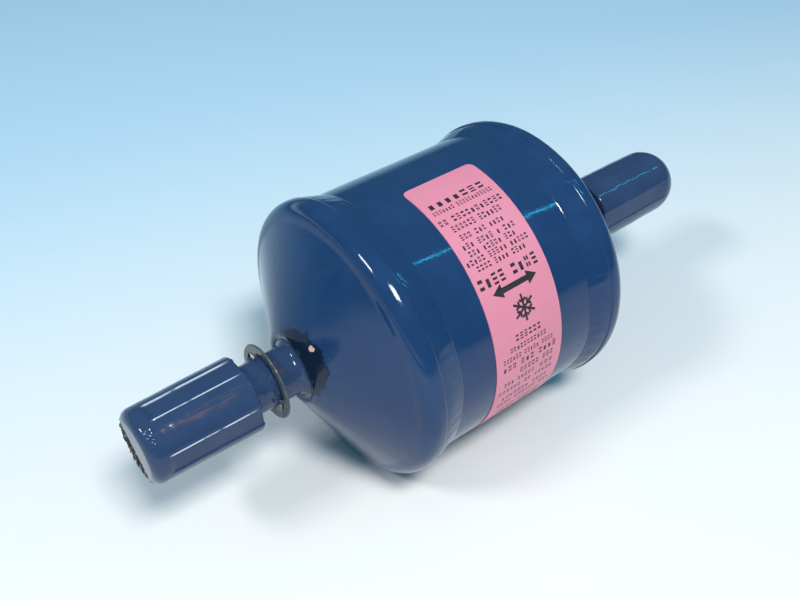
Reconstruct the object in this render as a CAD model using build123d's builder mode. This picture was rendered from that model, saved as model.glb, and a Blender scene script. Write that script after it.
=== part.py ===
from build123d import *
import os
from math import cos, radians, sin, tan

# Bi-flow liquid line filter drier, with the sealing caps still on its two fittings.
# Millimetres. The axis lies along X, the near end points to -X, and +Z is up.
# The origin is the middle of the shell, on its axis. "out" is a distance from the middle
# of the shell towards either end, and "r" is a distance from the axis.

# ---------------------------------------------------------------- shared fits and sheet
slip_fit = 0.05          # between pieces that slip together before they are welded or brazed
touch_gap = 0.05         # between a loose valve piece and the face it rests on
sheet = 0.8              # pressed steel of the inner pieces

# ---------------------------------------------------------------- shell tube
shell_d = 63.5
shell_wall = 1.5
shell_half = 27.4        # middle to each cut end
shell_end_chamfer = 0.8

# ---------------------------------------------------------------- drawn end caps
cap_wall = 1.6
cap_lap = 3.0            # how far the cap slides over the tube
rim_round = 0.4
skirt_length = 1.8       # straight stretch from the rim to the shoulder
shoulder_bend = 4.0      # outside radius of the shoulder
cone_angle = 65          # between the cone and the axis
hub_bend = 2.2           # outside radius between the cone and the neck
neck_length = 1.4        # straight stretch of the neck

# ---------------------------------------------------------------- shell welds
weld_length = 5.1
weld_height = 1.35
weld_crown = 0.14        # how far the bead stands above a straight ramp

# ---------------------------------------------------------------- solder fittings
stub_d = 11.4
socket_d = 9.6           # takes a 3/8 inch tube
socket_depth = 9.5
through_d = 8.0
stub_reach = 20.6        # hub to the tip
stub_edge = 0.25
flange_d = 13.8
flange_length = 1.2
braze_leg = 1.3          # along the stub, past the hub
braze_cover = 4.4        # radius of the braze's hollow face
braze_crown_angle = 17   # where the braze ends on the hub's turn, from the axis direction
braze_root_angle = -75   # where it starts, down beside the stub

# ---------------------------------------------------------------- keeper ring on the near stub
keeper_d = 17.6
keeper_sheet = 0.5
keeper_out = 46.9
keeper_band = 1.5        # width of the flat rim
keeper_teeth = 6
keeper_tooth_lean = 0.7  # how far the tooth tips stand off the rim's plane
keeper_slot = 3.3        # gap between two teeth
keeper_slot_round = 0.8  # corner radius of that gap
keeper_slot_reach = 2.8  # how far its cutter runs along the axis

# ---------------------------------------------------------------- rubber sealing caps
seal_grip = {"near": 8.6, "far": 10.0}  # how far a cap reaches over its stub
seal_clearance = 0.08
seal_d = 17.5
seal_taper = 0.35        # radius lost from mouth to closed end
seal_flats = 4
seal_flat_width = 4.3
seal_flat_depth = 0.65
seal_flat_cutter = 4.0   # thickness of what cuts a flat
seal_flat_angle = {"near": 1, "far": -12}
seal_flat_stop = {"near": 3.0, "far": 4.5}  # from the closed end to where the flats end
seal_bore_d = 13.0
seal_end_wall = 2.4
seal_ribs = 8
seal_rib_width = 1.1
seal_lead_in = 0.4
seal_length = {"near": 24.6, "far": 31.3}
seal_end_round = {"near": 2.3, "far": 7.9}
seal_bore_round = {"near": 0.8, "far": 5.0}

# ---------------------------------------------------------------- label
label_width = 19.3
label_arc = 131
label_start = -1         # degrees from +Z towards -Y
label_thickness = 0.15
label_corner = 1.5

# ---------------------------------------------------------------- desiccant core
core_d = 52.0
core_bore_d = 14.0
core_inset = 10.6        # core's end to the shell's cut end
core_round = 1.0
pad_thickness = 1.2
pad_inset = 0.6
cup_skirt = 5.0
cup_bend = 1.0
centre_tube_d = 12.0
centre_tube_wall = 0.6
centre_hole_d = 2.4
centre_hole_pitch = 4.2
centre_hole_rows = 7
centre_hole_lines = 3    # lines of holes drilled right through both walls

# ---------------------------------------------------------------- valve plates and valves
plate_gap = 4.5          # core cup to valve plate
plate_bend = 1.2
port_d = 9.0
inlet_port_d = 2.8
inlet_port_inset = 2.95  # shell's bore to the middles of the ports
inlet_port_count = 12
inlet_ring_inset = 0.65  # shell's bore to the ring's outside
inlet_ring_band = 4.0    # width of the flat ring
inlet_ring_thickness = 0.6
inlet_travel = 1.3
guide_clearance = 0.2
guide_lip = 1.3
outlet_disc_d = 12.8
outlet_disc_thickness = 1.2
outlet_disc_edge = 0.3
outlet_travel = 1.6
cage_clearance = 0.8
cage_flange = 2.4
cage_window = 5.0
cage_windows = 4
cage_vent_d = 6.0
spacer_wall = 0.8
spring_wire = 1.2
spring_d = 36.0
spring_pitch = 1.8

# ---------------------------------------------------------------- worked out from the above
shell_r = shell_d / 2
shell_bore_r = shell_r - shell_wall
crest_r = shell_r + slip_fit + cap_wall
stub_r = stub_d / 2
neck_r = stub_r + slip_fit
rim_out = shell_half - cap_lap
shoulder_out = rim_out + skirt_length
core_half = shell_half - core_inset
corner_out = shoulder_out + shoulder_bend * tan(radians(cone_angle / 2))
hub_corner_out = corner_out + (crest_r - neck_r) / tan(radians(cone_angle))
hub_centre_out = hub_corner_out - hub_bend * tan(radians(90 - cone_angle / 2))
hub_centre_r = neck_r + hub_bend
hub_out = hub_centre_out + hub_bend
neck_in_out = hub_centre_out - neck_length
tip_out = hub_out + stub_reach
cup_face_out = core_half + pad_thickness
cup_back_out = cup_face_out + sheet
plate_out = cup_back_out + plate_gap
plate_back_out = plate_out + sheet
cup_skin_r = core_d / 2 + slip_fit
cup_bore_r = centre_tube_d / 2 + slip_fit
cage_bore_r = outlet_disc_d / 2 + cage_clearance
cage_height = touch_gap + outlet_disc_thickness + outlet_travel + touch_gap
inlet_port_r = shell_bore_r - inlet_port_inset
inlet_ring_r = shell_bore_r - inlet_ring_inset
inlet_ring_bore_r = inlet_ring_r - inlet_ring_band
guide_r = inlet_ring_bore_r - guide_clearance
guide_height = touch_gap + inlet_ring_thickness + inlet_travel + touch_gap

os.makedirs("parts", exist_ok=True)


def lengthwise(direction):
    """Plane through the axis: its x runs outwards along the axis, its y is the radius."""
    return Plane(origin=(0, 0, 0), x_dir=(direction, 0, 0), z_dir=(0, -direction, 0))


def across(direction, out):
    """Plane square to the axis, at a distance out from the middle, facing outwards."""
    return Plane(origin=(direction * out, 0, 0), x_dir=(0, 1, 0), z_dir=(direction, 0, 0))


def save(sub_part, name):
    """Label a finished piece and write it under that name."""
    sub_part.part.label = name
    export_step(sub_part.part, f"parts/{name}.step")


# ================================================================ pieces of the middle
with BuildPart() as shell_tube:
    with BuildSketch(Plane.YZ):
        Circle(shell_r)
        Circle(shell_bore_r, mode=Mode.SUBTRACT)
    extrude(amount=shell_half, both=True)
    end_circles = shell_tube.edges().filter_by(GeomType.CIRCLE)
    chamfer(end_circles.group_by(SortBy.RADIUS)[-1], shell_end_chamfer)
save(shell_tube, "shell_tube")

with BuildPart() as label:
    start = radians(label_start)
    label_edge = Plane(origin=(0, 0, 0), x_dir=(1, 0, 0), z_dir=(0, -cos(start), -sin(start)))
    with BuildSketch(label_edge):
        with Locations((0, shell_r + label_thickness / 2)):
            Rectangle(label_width, label_thickness)
    revolve(axis=Axis.X, revolution_arc=label_arc)
    corner_edges = label.edges().filter_by(GeomType.LINE).group_by(SortBy.LENGTH)[0]
    fillet(corner_edges, label_corner)
save(label, "label")

with BuildPart() as desiccant_core:
    with BuildSketch(Plane.YZ):
        Circle(core_d / 2)
        Circle(core_bore_d / 2, mode=Mode.SUBTRACT)
    extrude(amount=core_half, both=True)
    core_circles = desiccant_core.edges().filter_by(GeomType.CIRCLE)
    fillet(core_circles.group_by(SortBy.RADIUS)[-1], core_round)
save(desiccant_core, "desiccant_core")

with BuildPart() as filter_sleeve:
    with BuildSketch(Plane.YZ):
        Circle(core_bore_d / 2 - slip_fit)
        Circle(centre_tube_d / 2 + slip_fit, mode=Mode.SUBTRACT)
    extrude(amount=core_half, both=True)
save(filter_sleeve, "filter_sleeve")

with BuildPart() as centre_tube:
    with BuildSketch(Plane.YZ):
        Circle(centre_tube_d / 2)
        Circle(centre_tube_d / 2 - centre_tube_wall, mode=Mode.SUBTRACT)
    extrude(amount=cup_back_out, both=True)
    for line in range(centre_hole_lines):
        turn = radians(180 / centre_hole_lines * line)
        shift = centre_hole_pitch / 2 * (line % 2)
        drill_face = Plane(origin=(0, 0, 0), x_dir=(1, 0, 0), z_dir=(0, sin(turn), cos(turn)))
        with BuildSketch(drill_face):
            with Locations((shift, 0)):
                with GridLocations(centre_hole_pitch, 1, centre_hole_rows, 1):
                    Circle(centre_hole_d / 2)
        extrude(amount=centre_tube_d, both=True, mode=Mode.SUBTRACT)
save(centre_tube, "centre_tube")

# ================================================================ pieces at both ends
for side, direction in {"near": -1, "far": 1}.items():

    with BuildPart() as end_cap:
        with BuildSketch(lengthwise(direction)):
            with BuildLine():
                FilletPolyline(
                    (rim_out, crest_r),
                    (corner_out, crest_r),
                    (hub_corner_out, neck_r),
                    (neck_in_out, neck_r),
                    radius=[shoulder_bend, hub_bend],
                )
                offset(amount=cap_wall, side=Side.RIGHT, kind=Kind.TANGENT)
            make_face()
        revolve(axis=Axis.X)
        rim_edge = end_cap.edges().filter_by(GeomType.CIRCLE).group_by(SortBy.RADIUS)[-1]
        fillet(rim_edge.sort_by(Axis.X, reverse=direction < 0)[0], rim_round)
    save(end_cap, f"end_cap_{side}")

    with BuildPart() as weld_bead:
        with BuildSketch(lengthwise(direction)):
            with BuildLine():
                toe = (rim_out - weld_length, shell_r)
                crown = (rim_out, shell_r + weld_height)
                middle = (rim_out - weld_length / 2, shell_r + weld_height / 2 + weld_crown)
                ThreePointArc(toe, middle, crown)
                Polyline(crown, (rim_out, shell_r), toe)
            make_face()
        revolve(axis=Axis.X)
    save(weld_bead, f"weld_bead_{side}")

    with BuildPart() as fitting:
        with BuildSketch(lengthwise(direction)):
            with BuildLine():
                flange_out = neck_in_out - slip_fit
                Polyline(
                    (flange_out - flange_length, through_d / 2),
                    (flange_out - flange_length, flange_d / 2),
                    (flange_out, flange_d / 2),
                    (flange_out, stub_r),
                    (tip_out, stub_r),
                    (tip_out, socket_d / 2),
                    (tip_out - socket_depth, socket_d / 2),
                    (tip_out - socket_depth, through_d / 2),
                    close=True,
                )
            make_face()
        revolve(axis=Axis.X)
        tip_circles = fitting.edges().filter_by(GeomType.CIRCLE).filter_by_position(
            Axis.X, *sorted((direction * tip_out, direction * (tip_out - stub_edge)))
        )
        chamfer(tip_circles.group_by(SortBy.RADIUS)[-1], stub_edge)
    save(fitting, f"fitting_{side}")

    with BuildPart() as braze_ring:
        hub_crown, hub_root = (
            (hub_centre_out + hub_bend * cos(turn), hub_centre_r + hub_bend * sin(turn))
            for turn in (radians(braze_crown_angle), radians(braze_root_angle))
        )
        braze_tip = (hub_out + braze_leg, stub_r)
        with BuildSketch(lengthwise(direction)):
            with BuildLine():
                RadiusArc(hub_root, hub_crown, -hub_bend)
                RadiusArc(hub_crown, braze_tip, braze_cover)
                Polyline(braze_tip, (hub_root[0], stub_r), hub_root)
            make_face()
        revolve(axis=Axis.X)
    save(braze_ring, f"braze_ring_{side}")

    with BuildPart() as valve_plate:
        with BuildSketch(lengthwise(direction)):
            with BuildLine():
                FilletPolyline(
                    (shell_half, shell_bore_r - slip_fit),
                    (plate_out, shell_bore_r - slip_fit),
                    (plate_out, port_d / 2),
                    radius=plate_bend,
                )
                offset(amount=sheet, side=Side.LEFT, kind=Kind.TANGENT)
            make_face()
        revolve(axis=Axis.X)
        with BuildSketch(across(direction, plate_out)):
            with PolarLocations(inlet_port_r, inlet_port_count):
                Circle(inlet_port_d / 2)
        extrude(amount=sheet, mode=Mode.SUBTRACT)
    save(valve_plate, f"valve_plate_{side}")

    with BuildPart() as inlet_ring:
        with BuildSketch(across(-direction, touch_gap - plate_out)):
            Circle(inlet_ring_r)
            Circle(inlet_ring_bore_r, mode=Mode.SUBTRACT)
        extrude(amount=inlet_ring_thickness)
    save(inlet_ring, f"inlet_ring_{side}")

    with BuildPart() as inlet_guide:
        with BuildSketch(lengthwise(direction)):
            with BuildLine():
                lip_out = plate_out - guide_height
                Polyline(
                    (plate_out, guide_r - sheet),
                    (plate_out, guide_r),
                    (lip_out, guide_r),
                    (lip_out, guide_r + guide_lip),
                    (lip_out - sheet, guide_r + guide_lip),
                    (lip_out - sheet, guide_r - sheet),
                    close=True,
                )
            make_face()
        revolve(axis=Axis.X)
    save(inlet_guide, f"inlet_guide_{side}")

    with BuildPart() as outlet_disc:
        with BuildSketch(across(direction, plate_back_out + touch_gap)):
            Circle(outlet_disc_d / 2)
        extrude(amount=outlet_disc_thickness)
        fillet(outlet_disc.edges().filter_by(GeomType.CIRCLE), outlet_disc_edge)
    save(outlet_disc, f"outlet_disc_{side}")

    with BuildPart() as disc_cage:
        with BuildSketch(lengthwise(direction)):
            with BuildLine():
                top_out = plate_back_out + cage_height
                Polyline(
                    (plate_back_out, cage_bore_r),
                    (plate_back_out, cage_bore_r + cage_flange),
                    (plate_back_out + sheet, cage_bore_r + cage_flange),
                    (plate_back_out + sheet, cage_bore_r + sheet),
                    (top_out + sheet, cage_bore_r + sheet),
                    (top_out + sheet, cage_vent_d / 2),
                    (top_out, cage_vent_d / 2),
                    (top_out, cage_bore_r),
                    close=True,
                )
            make_face()
        revolve(axis=Axis.X)
        with BuildSketch(across(direction, plate_back_out + sheet)):
            with PolarLocations(cage_bore_r + sheet / 2, cage_windows):
                Rectangle(2 * sheet, cage_window)
        extrude(amount=cage_height - sheet, mode=Mode.SUBTRACT)
    save(disc_cage, f"disc_cage_{side}")

    with BuildPart() as core_cup:
        with BuildSketch(lengthwise(direction)):
            with BuildLine():
                FilletPolyline(
                    (cup_face_out - cup_skirt, cup_skin_r),
                    (cup_face_out, cup_skin_r),
                    (cup_face_out, cup_bore_r),
                    radius=cup_bend,
                )
                offset(amount=sheet, side=Side.LEFT, kind=Kind.TANGENT)
            make_face()
        revolve(axis=Axis.X)
    save(core_cup, f"core_cup_{side}")

    with BuildPart() as core_pad:
        with BuildSketch(across(direction, core_half)):
            Circle(cup_skin_r - cup_bend - pad_inset)
            Circle(cup_bore_r, mode=Mode.SUBTRACT)
        extrude(amount=pad_thickness)
    save(core_pad, f"core_pad_{side}")

    with BuildPart() as spacer:
        with BuildSketch(across(direction, cup_back_out)):
            Circle(centre_tube_d / 2 + spacer_wall)
            Circle(centre_tube_d / 2, mode=Mode.SUBTRACT)
        extrude(amount=plate_gap)
    save(spacer, f"spacer_{side}")

    with BuildPart() as seal_cap:
        mouth_r = seal_d / 2
        seal_mouth_out = tip_out - seal_grip[side]
        end_out = seal_mouth_out + seal_length[side]
        with BuildSketch(lengthwise(direction)):
            with BuildLine():
                FilletPolyline(
                    (seal_mouth_out, mouth_r),
                    (end_out, mouth_r - seal_taper),
                    (end_out, 0),
                    radius=seal_end_round[side],
                )
                Polyline((end_out, 0), (seal_mouth_out, 0), (seal_mouth_out, mouth_r))
            make_face()
        revolve(axis=Axis.X)
        cutter_r = mouth_r - seal_flat_depth + seal_flat_cutter / 2
        with BuildSketch(across(direction, seal_mouth_out)):
            with PolarLocations(cutter_r, seal_flats, start_angle=seal_flat_angle[side]):
                Rectangle(seal_flat_cutter, seal_flat_width)
        extrude(amount=seal_length[side] - seal_flat_stop[side], mode=Mode.SUBTRACT)
        with BuildSketch(lengthwise(direction)):
            with BuildLine():
                floor_out = end_out - seal_end_wall
                FilletPolyline(
                    (seal_mouth_out, seal_bore_d / 2),
                    (floor_out, seal_bore_d / 2),
                    (floor_out, 0),
                    radius=seal_bore_round[side],
                )
                Polyline((floor_out, 0), (seal_mouth_out, 0), (seal_mouth_out, seal_bore_d / 2))
            make_face()
        revolve(axis=Axis.X, mode=Mode.SUBTRACT)
        rib_height = seal_bore_d / 2 - stub_r - seal_clearance
        with BuildSketch(across(direction, seal_mouth_out + seal_lead_in)):
            with PolarLocations(stub_r + seal_clearance + rib_height / 2 + slip_fit, seal_ribs):
                Rectangle(rib_height + 2 * slip_fit, seal_rib_width)
        extrude(amount=seal_grip[side])
    save(seal_cap, f"seal_cap_{side}")

# ================================================================ pieces at one end only
with BuildPart() as load_spring:
    with BuildLine() as coil:
        Helix(
            pitch=spring_pitch,
            height=plate_gap,
            radius=spring_d / 2,
            center=(-plate_out, 0, 0),
            direction=(1, 0, 0),
        )
    with BuildSketch(Plane(origin=coil.line @ 0, z_dir=coil.line % 0)):
        Circle(spring_wire / 2)
    sweep()
    with BuildSketch(across(1, -plate_out)):
        Circle(spring_d)
    extrude(amount=plate_gap, mode=Mode.INTERSECT)
save(load_spring, "load_spring")

with BuildPart() as keeper_ring:
    with BuildSketch(lengthwise(-1)):
        with BuildLine():
            band_r = keeper_d / 2 - keeper_band
            tooth_tip = (keeper_out - keeper_tooth_lean, stub_r + seal_clearance)
            FilletPolyline(
                (keeper_out, keeper_d / 2),
                (keeper_out, band_r),
                tooth_tip,
                radius=keeper_sheet,
            )
            offset(amount=keeper_sheet, side=Side.RIGHT, kind=Kind.TANGENT)
        make_face()
    revolve(axis=Axis.X)
    with BuildSketch(across(-1, keeper_out - keeper_slot_reach / 2)):
        with PolarLocations(stub_r, keeper_teeth, start_angle=180 / keeper_teeth):
            RectangleRounded(2 * (band_r - stub_r), keeper_slot, keeper_slot_round)
    extrude(amount=keeper_slot_reach, mode=Mode.SUBTRACT)
save(keeper_ring, "keeper_ring")
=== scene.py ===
"""Refrigerant filter drier: a welded steel shell under thick navy paint, a pink label, two solder
fittings and the rubber caps that seal them. The axis runs along X and +Z is up.

Lengths in the functions are millimetres; a point at x, radius r and angle t lies at
(x, -r sin t, r cos t), so t = 0 is the top and t = 90 degrees faces -Y."""

import bpy
import numpy as np
from mathutils import Matrix


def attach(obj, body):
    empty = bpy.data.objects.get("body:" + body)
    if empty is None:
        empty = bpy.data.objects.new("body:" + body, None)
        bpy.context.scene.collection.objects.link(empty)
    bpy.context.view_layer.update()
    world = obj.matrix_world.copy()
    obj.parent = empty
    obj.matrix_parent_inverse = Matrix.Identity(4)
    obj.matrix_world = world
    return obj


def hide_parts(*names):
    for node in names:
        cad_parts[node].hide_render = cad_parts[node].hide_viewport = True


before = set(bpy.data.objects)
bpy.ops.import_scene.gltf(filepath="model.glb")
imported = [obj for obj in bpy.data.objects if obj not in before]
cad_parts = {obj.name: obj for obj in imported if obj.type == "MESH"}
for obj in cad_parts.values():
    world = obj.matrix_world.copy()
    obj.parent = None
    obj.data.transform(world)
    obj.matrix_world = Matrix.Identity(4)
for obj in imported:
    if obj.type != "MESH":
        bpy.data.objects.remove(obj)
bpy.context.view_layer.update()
seed = np.random.default_rng(11)
MM = 0.001
CREASE = np.radians(40)    # edges that turn more than this stay sharp
ENDS = {"near": -1, "far": 1}

# ---------------------------------------------------------------- sizes shared with the solids
SHELL_R, SHELL_WALL, SHELL_HALF = 31.75, 1.5, 27.4
CREST_R, CAP_WALL = 33.4, 1.6
RIM_OUT, SHOULDER_CORNER, HUB_CORNER = 24.4, 28.748, 41.642
SHOULDER_BEND, HUB_BEND, CONE_SLOPE = 4.0, 2.2, np.radians(65)
NECK_R, NECK_END, HUB_OUT = 5.75, 36.79, 40.39
WELD_TOE, WELD_HEIGHT = 19.3, 1.35
FLANGE_R, FLANGE_BACK, BRAZE_GAP = 6.9, 1.25, 0.05
STUB_R, SOCKET_R, THROUGH_R = 5.7, 4.8, 4.0
TIP_OUT, SOCKET_DEPTH = 60.99, 9.5
RING_OUT, RING_R, RING_SHEET = 46.9, 8.8, 0.5
SEAL_R, SEAL_TAPER, SEAL_BORE = 8.75, 0.35, 6.5
LABEL_R, LABEL_HALF, LABEL_FROM, LABEL_TO, LABEL_CORNER = 31.9, 9.65, -1.0, 130.0, 1.5
SEAL = {
    "near": {"mouth": 52.39, "length": 24.6, "end": 2.3, "bore_end": 0.8, "flats": (-1, 87, 179, 267),
             "stop": 3.2, "fade": 1.8, "bead": 0.09, "worn": True},
    "far": {"mouth": 50.99, "length": 31.3, "end": 7.9, "bore_end": 5.0, "flats": (-12, 76, 168, 258),
            "stop": 4.5, "fade": 8.0, "bead": 0.05, "worn": False},
}

# ---------------------------------------------------------------- sizes that only the skins have
VALLEY, VALLEY_BEND = (29.85, 29.5), 2.0          # x and radius, where the shoulder meets the cone
RIM_DROP, RIM_BEND = 0.6, 0.45
BREAK_WAY, BREAK_FROM = (0.7071, -0.7071), 1.2    # y and z towards the worn cap's break, and its edge
FINE, COARSE = 0.3, 1.5                           # spacing along an outline that is seen or hidden
# Hills in the paint: how far they lie apart, and how high they stand.
SHELL_HILLS, CAP_HILLS, WELD_HILLS = (21, 0.05), (13, 0.06), (9, 0.06)
FITTING_HILLS, SEAL_HILLS = ((3.2, 0.13), (1.3, 0.11)), ((7, 0.05), (2.2, 0.03))
BREAK_PITS = ((1.3, 2.4, 24), (0.6, 1.6, 24))     # the same for the break, and how many waves


# ================================================================ surfaces
def at(x, radius, angle):
    """Points at x, a radius from the axis, and an angle in radians from the top towards -Y."""
    x, radius, angle = np.broadcast_arrays(x, radius, angle)
    return np.stack([x, -radius * np.sin(angle), radius * np.cos(angle)], axis=-1)


def ease(value, low, high):
    """0 up to low, 1 from high on, and 3s^2 - 2s^3 between, where s runs from 0 to 1."""
    s = np.clip((value - low) / (high - low), 0, 1)
    return s * s * (3 - 2 * s)


def hump(value, middle, half_width, soft):
    """1 within half_width of the middle and 0 beyond half_width + soft, with an eased edge."""
    return 1 - ease(np.abs(value - middle), half_width, half_width + soft)


def turn_from(angle, middle):
    """How far an angle is from the middle one, in degrees from -180 to 180."""
    return (np.degrees(angle) - middle + 180) % 360 - 180


def outline(corners, bends, pitch):
    """Profile through the corners, evenly sampled every pitch. Each inner corner is an arc of its
    bend radius that touches both of its sides at bend * tan(half the turn) from the corner."""
    corners = np.array(corners, float)
    path = [corners[0]]
    for before, corner, after, bend in zip(corners, corners[1:], corners[2:], bends):
        way_in, way_out = corner - before, after - corner
        way_in, way_out = way_in / np.linalg.norm(way_in), way_out / np.linalg.norm(way_out)
        turn = np.arctan2(way_in[0] * way_out[1] - way_in[1] * way_out[0], way_in @ way_out)
        start = corner - way_in * bend * np.tan(abs(turn) / 2)
        side = np.sign(turn) * np.array([-way_in[1], way_in[0]])
        swing = np.linspace(0, abs(turn), 25)[:, None]
        path.extend(start + bend * (side * (1 - np.cos(swing)) + way_in * np.sin(swing)))
    path = np.array([*path, corners[-1]])
    run = np.r_[0, np.cumsum(np.linalg.norm(np.diff(path, axis=0), axis=1))]
    even = np.linspace(0, run[-1], max(2, int(round(run[-1] / pitch)) + 1))
    return np.stack([np.interp(even, run, path[:, 0]), np.interp(even, run, path[:, 1])], axis=-1)


def unevenness(points, wavelength, height, waves=9):
    """Gentle hills on a surface: the mean of plane sine waves in random directions, each with
    about the given wavelength, scaled to the height."""
    directions = seed.normal(size=(waves, 3))
    directions /= np.linalg.norm(directions, axis=1, keepdims=True)
    rates = 2 * np.pi / (wavelength * seed.uniform(0.7, 1.4, size=waves))
    phases = seed.uniform(0, 2 * np.pi, size=waves)
    return height * np.sin(points @ (directions * rates[:, None]).T + phases).mean(axis=-1)


def push(points, amount):
    """Moves points outwards from the axis by an amount each."""
    radius = np.linalg.norm(points[..., 1:], axis=-1, keepdims=True)
    moved = points.copy()
    moved[..., 1:] += points[..., 1:] / np.maximum(radius, 0.01) * np.asarray(amount)[..., None]
    return moved


def coated(points, sunk, *waves):
    """The points moved inwards by a depth that leaves room for hills, then made uneven by each
    wave's length and height."""
    return push(points, -sunk - sum(unevenness(points, *wave) for wave in waves))


def grid_faces(rows, columns, wrap_rows=False, wrap_columns=True):
    """Quads of a grid of points numbered row by row, with its last row or column joined to the
    first where it wraps."""
    row = np.arange(rows if wrap_rows else rows - 1)[:, None]
    column = np.arange(columns if wrap_columns else columns - 1)[None, :]
    next_row, next_column = (row + 1) % rows, (column + 1) % columns
    corners = [(row, column), (row, next_column), (next_row, next_column), (next_row, column)]
    return np.stack([(r * columns + c).ravel() for r, c in corners], axis=-1)


def loop_skin(points):
    """A closed skin from a grid of points that wraps both ways, such as a turned ring."""
    rows, columns, _ = points.shape
    return points.reshape(-1, 3), [grid_faces(rows, columns, wrap_rows=True)]


def capped_skin(points, first, last):
    """A closed skin from rings of points, with a point at each end where the rings close."""
    rows, columns, _ = points.shape
    verts = np.vstack([points.reshape(-1, 3), first, last])
    here = np.arange(columns)
    beside, tail = (here + 1) % columns, (rows - 1) * columns
    pole_in = np.stack([np.full(columns, rows * columns), beside, here], axis=-1)
    pole_out = np.stack([np.full(columns, rows * columns + 1), tail + here, tail + beside], axis=-1)
    return verts, [grid_faces(rows, columns), pole_in, pole_out]


def slab_skin(top, bottom):
    """A closed thin solid between two grids of the same size: both grids, and quads round the
    edge that join them. A leading axis holds many slabs at once."""
    top, bottom = (side.reshape((-1, *side.shape[-3:])) for side in (top, bottom))
    count, rows, columns, _ = top.shape
    size = rows * columns
    flat = grid_faces(rows, columns, wrap_columns=False)
    number = np.arange(size).reshape(rows, columns)
    rim = np.r_[number[0, :-1], number[:-1, -1], number[-1, :0:-1], number[:0:-1, 0]]
    after = np.roll(rim, -1)
    one = np.vstack([flat, flat[:, ::-1] + size, np.stack([after, rim, rim + size, after + size], -1)])
    faces = (one[None] + 2 * size * np.arange(count)[:, None, None]).reshape(-1, 4)
    return np.stack([top, bottom], axis=1).reshape(-1, 3), [faces]


def outward(verts, faces):
    """The same faces, all turned over if together they enclose a negative volume."""
    volume = 0.0
    for block in faces:
        a, b, c = (verts[block[:, i]] for i in range(3))
        volume += np.einsum("ij,ij->", a, np.cross(b, c))
        if block.shape[1] == 4:
            volume += np.einsum("ij,ij->", a, np.cross(c, verts[block[:, 3]]))
    return faces if volume > 0 else [block[:, ::-1] for block in faces]


def make(name, skins, finish, body, replaced=()):
    """One object from closed skins, in metres, smooth but for edges sharper than the crease. It
    rides on a body, takes its finish, and stands for the nodes that it replaces."""
    verts, polygons, base = [], [], 0
    for points, faces in skins:
        verts.append(points * MM)
        polygons += [block + base for block in outward(points, faces)]
        base += len(points)
    mesh = bpy.data.meshes.new(name)
    mesh.from_pydata(np.vstack(verts).tolist(), [], [f for block in polygons for f in block.tolist()])
    mesh.update()
    mesh.shade_smooth()
    mesh.set_sharp_from_angle(angle=CREASE)
    mesh.materials.append(finish)
    piece = bpy.data.objects.new(name, mesh)
    bpy.context.scene.collection.objects.link(piece)
    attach(piece, body)
    if replaced:
        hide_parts(*replaced)


# ================================================================ shader node tools
def wire(tree, node, feeds):
    """Links or sets a node's inputs. feeds maps a socket's name or number to the socket that
    feeds it, or to a plain value."""
    for key, value in feeds.items():
        if isinstance(value, bpy.types.NodeSocket):
            tree.links.new(value, node.inputs[key])
        else:
            node.inputs[key].default_value = value


def put(tree, kind, feeds=None, **settings):
    """Adds a node with its own properties set and its inputs fed."""
    node = tree.nodes.new(kind)
    for key, value in settings.items():
        setattr(node, key, value)
    wire(tree, node, feeds or {})
    return node


def sums(tree, operation, *values):
    """The result of a Math node on the values."""
    return put(tree, "ShaderNodeMath", dict(enumerate(values)), operation=operation).outputs[0]


def spread(tree, value, low, high, to_low=0.0, to_high=1.0):
    """A value carried from the range low..high to another range, eased and held at both ends."""
    feeds = {0: value, 1: low, 2: high, 3: to_low, 4: to_high}
    node = put(tree, "ShaderNodeMapRange", feeds, interpolation_type="SMOOTHSTEP")
    return node.outputs[0]


def product(tree, *values):
    """The product of all the values."""
    result = values[0]
    for value in values[1:]:
        result = sums(tree, "MULTIPLY", result, value)
    return result


def mixed(tree, amount, first, second):
    """Two colours mixed by an amount."""
    return put(tree, "ShaderNodeMix", {0: amount, 6: first, 7: second}, data_type="RGBA").outputs[2]


def scaled(tree, point, factors):
    """A point with each coordinate multiplied by its factor."""
    feeds = {0: point, 1: factors}
    return put(tree, "ShaderNodeVectorMath", feeds, operation="MULTIPLY").outputs["Vector"]


def reach_along(tree, point, way):
    """How far a point lies along a direction."""
    feeds = {0: point, 1: way}
    return put(tree, "ShaderNodeVectorMath", feeds, operation="DOT_PRODUCT").outputs["Value"]


def coordinates(tree, point):
    """The x, y and z of a point, as three sockets."""
    return put(tree, "ShaderNodeSeparateXYZ", {0: point}).outputs


def noise(tree, where, scale, detail, roughness=0.5, distortion=0.0):
    """The value of a noise with features about 1 / scale metres across."""
    feeds = {"Vector": where, "Scale": scale, "Detail": detail}
    feeds |= {"Roughness": roughness, "Distortion": distortion}
    return put(tree, "ShaderNodeTexNoise", feeds).outputs[0]


def object_point(tree):
    """Object coordinates, which are the frame's own, in metres."""
    return put(tree, "ShaderNodeTexCoord").outputs["Object"]


def effect(name, inputs, outputs):
    """An empty node group with named inputs (name, kind, value) and outputs (name, kind)."""
    group = bpy.data.node_groups.new(name, "ShaderNodeTree")
    for label, kind, value in inputs:
        socket = group.interface.new_socket(label, in_out="INPUT", socket_type=f"NodeSocket{kind}")
        if value is not None:
            socket.default_value = value
    for label, kind in outputs:
        group.interface.new_socket(label, in_out="OUTPUT", socket_type=f"NodeSocket{kind}")
    return group, group.nodes.new("NodeGroupInput").outputs, group.nodes.new("NodeGroupOutput")


def give(group, out, **values):
    """Feeds the named outputs of a group."""
    for label, value in values.items():
        group.links.new(value, out.inputs[label])


def use(tree, group, feeds):
    """Places a node group in a material and returns its outputs."""
    return put(tree, "ShaderNodeGroup", feeds, node_tree=group).outputs


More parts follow.
